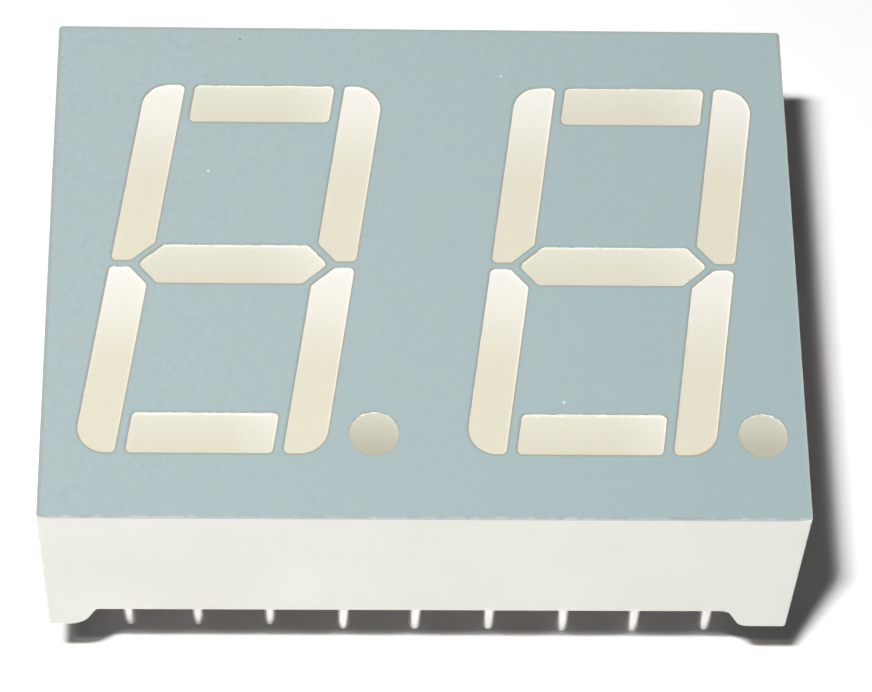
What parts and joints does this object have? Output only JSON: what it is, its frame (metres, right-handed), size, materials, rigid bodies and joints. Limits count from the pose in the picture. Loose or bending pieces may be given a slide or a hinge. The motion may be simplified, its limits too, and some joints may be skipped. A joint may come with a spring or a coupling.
{
  "type": "seven segment led display",
  "caption": "Numeric LED display block with slanted figures, decimal points, a grey printed face and two rows of pins.",
  "frame": {"origin": "centre of the pin pattern, on the plane of the housing's feet", "axes": "+Z the way the digits face, +Y towards the top of the digits, +X along the row of digits"},
  "size_m": [0.0252, 0.019, 0.0124],
  "materials": {
    "white_polycarbonate": "moulded, fine satin",
    "grey_ink": "printed, matte",
    "diffused_epoxy": "cast, satin",
    "potting_epoxy": "poured, glossy",
    "board_laminate": "woven glass laminate",
    "solder": "tin, bright",
    "gold_plated_copper": "plated",
    "led_chip": "sawn crystal",
    "gold_wire": "drawn",
    "tinned_wire": "hot tinned"
  },
  "bodies": {
    "root": {"reflector_housing": "white_polycarbonate", "face_ink": "grey_ink", "circuit_board": "board_laminate", "back_fill": "potting_epoxy", "solder_joints": "solder", "chip_pads": "gold_plated_copper", "left_segment_a": "diffused_epoxy", "left_segment_b": "diffused_epoxy", "left_segment_c": "diffused_epoxy", "left_segment_d": "diffused_epoxy", "left_segment_e": "diffused_epoxy", "left_segment_f": "diffused_epoxy", "left_segment_g": "diffused_epoxy", "left_decimal_point": "diffused_epoxy", "led_chips_left": "led_chip", "bond_wires_left": "gold_wire", "right_segment_a": "diffused_epoxy", "right_segment_b": "diffused_epoxy", "right_segment_c": "diffused_epoxy", "right_segment_d": "diffused_epoxy", "right_segment_e": "diffused_epoxy", "right_segment_f": "diffused_epoxy", "right_segment_g": "diffused_epoxy", "right_decimal_point": "diffused_epoxy", "led_chips_right": "led_chip", "bond_wires_right": "gold_wire", "pin_01": "tinned_wire", "pin_02": "tinned_wire", "pin_03": "tinned_wire", "pin_04": "tinned_wire", "pin_05": "tinned_wire", "pin_06": "tinned_wire", "pin_07": "tinned_wire", "pin_08": "tinned_wire", "pin_09": "tinned_wire", "pin_10": "tinned_wire", "pin_11": "tinned_wire", "pin_12": "tinned_wire", "pin_13": "tinned_wire", "pin_14": "tinned_wire", "pin_15": "tinned_wire", "pin_16": "tinned_wire", "pin_17": "tinned_wire", "pin_18": "tinned_wire"}
  },
  "joints": []
}
